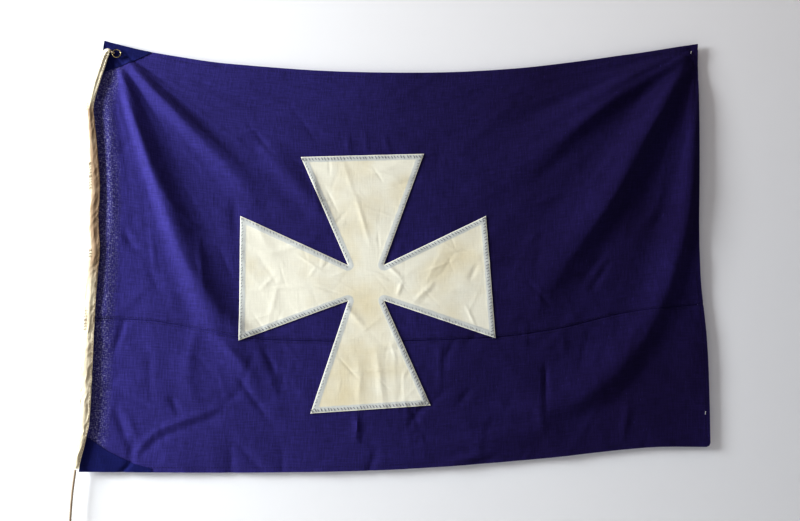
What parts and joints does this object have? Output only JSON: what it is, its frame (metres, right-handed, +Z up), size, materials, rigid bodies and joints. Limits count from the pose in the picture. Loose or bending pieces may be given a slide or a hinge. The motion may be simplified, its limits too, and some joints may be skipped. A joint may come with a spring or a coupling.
{
  "type": "hoisted bunting flag",
  "caption": "Hand-sewn rectangular wool bunting flag with an inset cross, canvas heading over a hoist rope, brass ring and rope tail, hung by its top corners.",
  "frame": {"origin": "centre of the brass ring at the head of the hoist", "axes": "+X from the hoist to the fly, +Y from the viewer towards the wall, +Z up"},
  "size_m": [1.3966, 0.017, 1.2583],
  "materials": {
    "blue_bunting": "dull plain-weave worsted wool, slightly sheer",
    "corner_bunting": "the same wool, doubled and less faded",
    "white_bunting": "off-white wool with tan age marks",
    "turned_white": "white wool over blue, greyish",
    "sewing_thread": "grey linen thread",
    "blue_thread": "dark blue sewing thread",
    "heading_canvas": "cream cotton duck, creased",
    "hemp_rope": "three-strand laid hemp",
    "ring_brass": "dull, tarnished in the inside"
  },
  "bodies": {
    "hoist": {"hoist_rope": "hemp_rope", "hoist_heading": "heading_canvas", "heading_stitching": "sewing_thread", "upper_breadth_margin": "blue_bunting", "lower_breadth_margin": "blue_bunting", "margin_seam_fell": "blue_bunting", "upper_corner_patch": "corner_bunting", "lower_corner_patch": "corner_bunting"},
    "field": {"upper_breadth": "blue_bunting", "lower_breadth": "blue_bunting", "seam_fell_hoist_side": "blue_bunting", "seam_fell_fly_side": "blue_bunting", "top_hem": "blue_bunting", "bottom_hem": "blue_bunting", "fly_hem": "blue_bunting", "hem_stitching": "blue_thread", "cross_applique": "white_bunting", "cross_turned_edge": "turned_white", "cross_edge_stitching": "sewing_thread", "window_turning": "blue_bunting", "upper_fly_tack": "white_bunting", "lower_fly_tack": "white_bunting"},
    "ring": {"brass_ring": "ring_brass"},
    "tail": {"halyard_tail": "hemp_rope", "tail_knot": "hemp_rope"}
  },
  "joints": [
    {"name": "field_swing", "type": "hinge", "parent": "hoist", "child": "field", "pos_m": [0.11, 0.004, 0], "axis": [0, 0, -1], "range_deg": [0, 90]},
    {"name": "ring_swing", "type": "hinge", "parent": "hoist", "child": "ring", "pos_m": [-0.00845, 0, 0], "axis": [0, 0, -1], "range_deg": [0, 120]},
    {"name": "tail_swing", "type": "hinge", "parent": "hoist", "child": "tail", "pos_m": [-0.0628, 0, -0.8972], "axis": [0, 1, 0], "range_deg": [-60, 60]}
  ]
}
